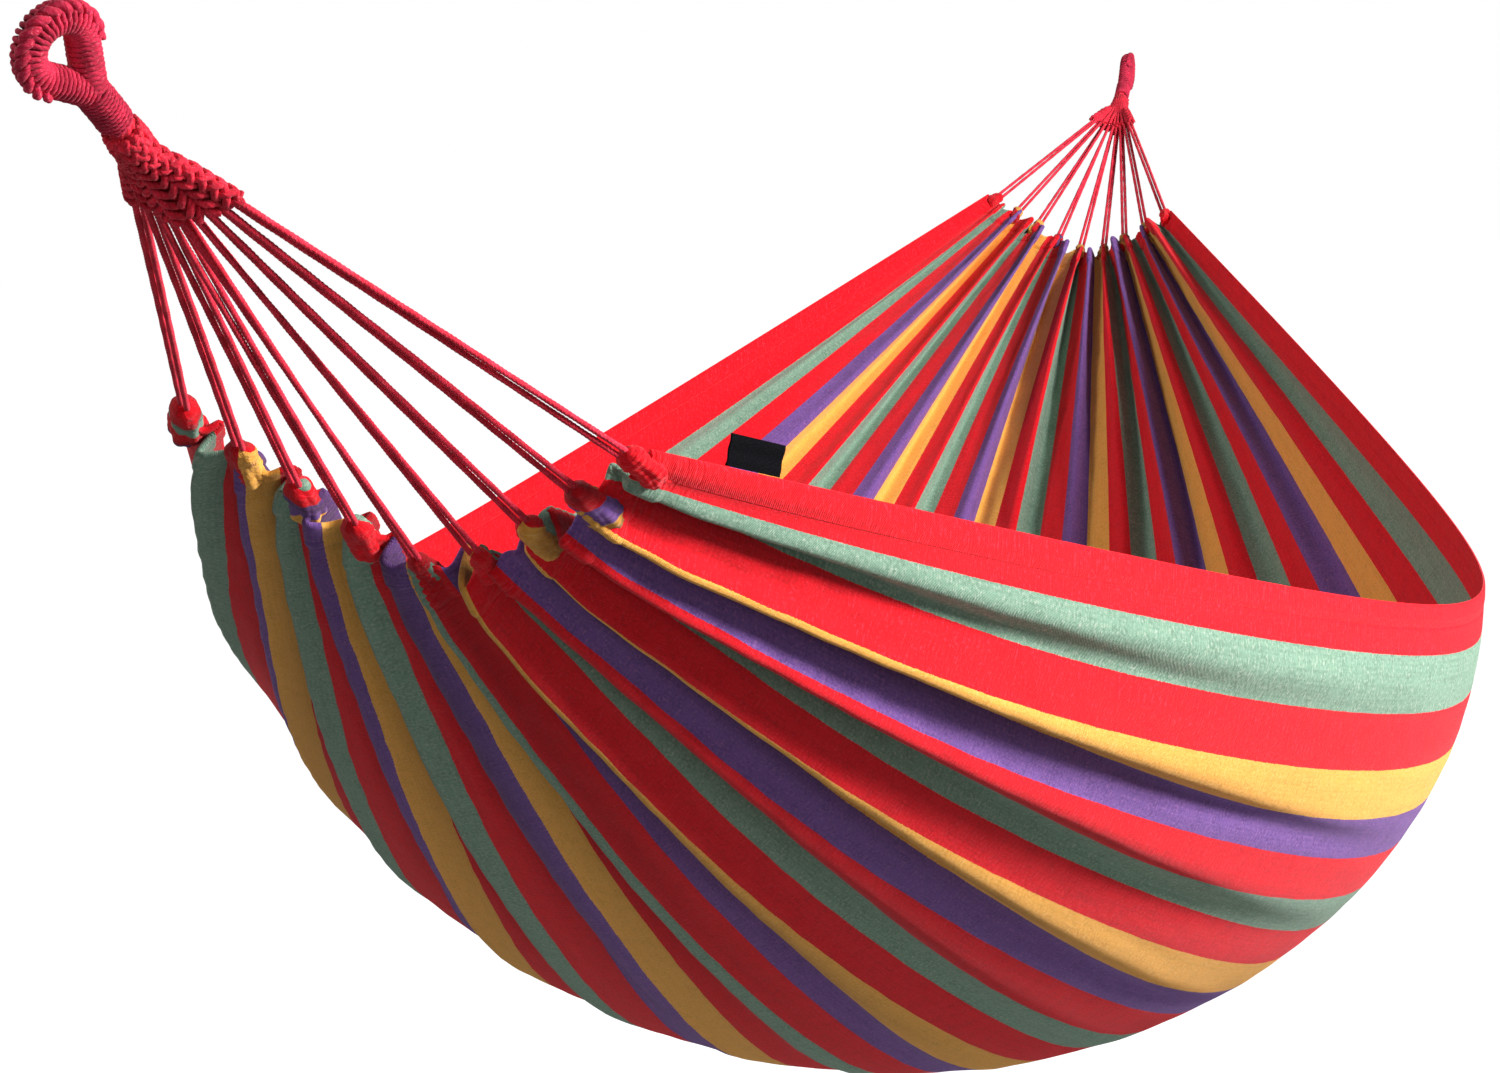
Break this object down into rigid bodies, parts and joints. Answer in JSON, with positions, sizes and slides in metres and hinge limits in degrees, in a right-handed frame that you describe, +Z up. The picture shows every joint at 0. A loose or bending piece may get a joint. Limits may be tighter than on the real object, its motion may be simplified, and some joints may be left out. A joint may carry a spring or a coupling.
{
  "type": "rope hammock",
  "caption": "Gathered-end hammock: a striped cotton bed hung by fans of doubled cords from a whipped rope eye at each end.",
  "frame": {"origin": "centre of the round end of the near eye, where a hook carries the hammock", "axes": "+Z up as hung, +X level from the near eye to the far eye, +Y to the left of that direction"},
  "size_m": [2.8665, 1.1515, 0.9939],
  "materials": {
    "whipping_cord": "twisted cotton cord, matt",
    "rope_core": "bundled cotton cord, matt",
    "clew_cord": "twisted cotton cord, matt",
    "tag_cloth": "black woven tape, blank",
    "hem_canvas": "striped cotton canvas, folded and gathered",
    "striped_canvas": "red, grey-green, purple and yellow lengthwise stripes, matt slubby weave"
  },
  "bodies": {
    "near_eye": {"near_eye_core": "rope_core", "near_eye_whipping": "whipping_cord", "near_neck_whipping": "whipping_cord"},
    "bed": {"near_throat_weave": "clew_cord", "near_cord_1": "clew_cord", "near_cord_2": "clew_cord", "near_cord_3": "clew_cord", "near_cord_4": "clew_cord", "near_cord_5": "clew_cord", "near_cord_6": "clew_cord", "near_cord_7": "clew_cord", "near_cord_8": "clew_cord", "near_cord_9": "clew_cord", "near_end_hem": "hem_canvas", "far_throat_weave": "clew_cord", "far_cord_1": "clew_cord", "far_cord_2": "clew_cord", "far_cord_3": "clew_cord", "far_cord_4": "clew_cord", "far_cord_5": "clew_cord", "far_cord_6": "clew_cord", "far_cord_7": "clew_cord", "far_cord_8": "clew_cord", "far_cord_9": "clew_cord", "far_end_hem": "hem_canvas", "bed_cloth": "striped_canvas", "right_side_hem": "hem_canvas", "left_side_hem": "hem_canvas"},
    "far_eye": {"far_eye_core": "rope_core", "far_eye_whipping": "whipping_cord", "far_neck_whipping": "whipping_cord"},
    "tag": {"side_tag": "tag_cloth"}
  },
  "joints": [
    {"name": "swing", "type": "hinge", "parent": "near_eye", "child": "bed", "pos_m": [0.05603, 0, -0.03923], "axis": [1, 0, 0], "range_deg": [-35, 35]},
    {"name": "far_eye_turn", "type": "hinge", "parent": "bed", "child": "far_eye", "pos_m": [2.76197, 0, -0.03923], "axis": [1, 0, 0], "range_deg": [-35, 35]},
    {"name": "tag_fold", "type": "hinge", "parent": "bed", "child": "tag", "pos_m": [0.44678, -0.19757, -0.26471], "axis": [0.8592, -0.4339, -0.2713], "range_deg": [-80, 80], "stiffness_Nm_per_rad": 0.0006}
  ],
  "couplings": [
    {"joint": "far_eye_turn", "follows": "swing", "ratio": -1}
  ]
}
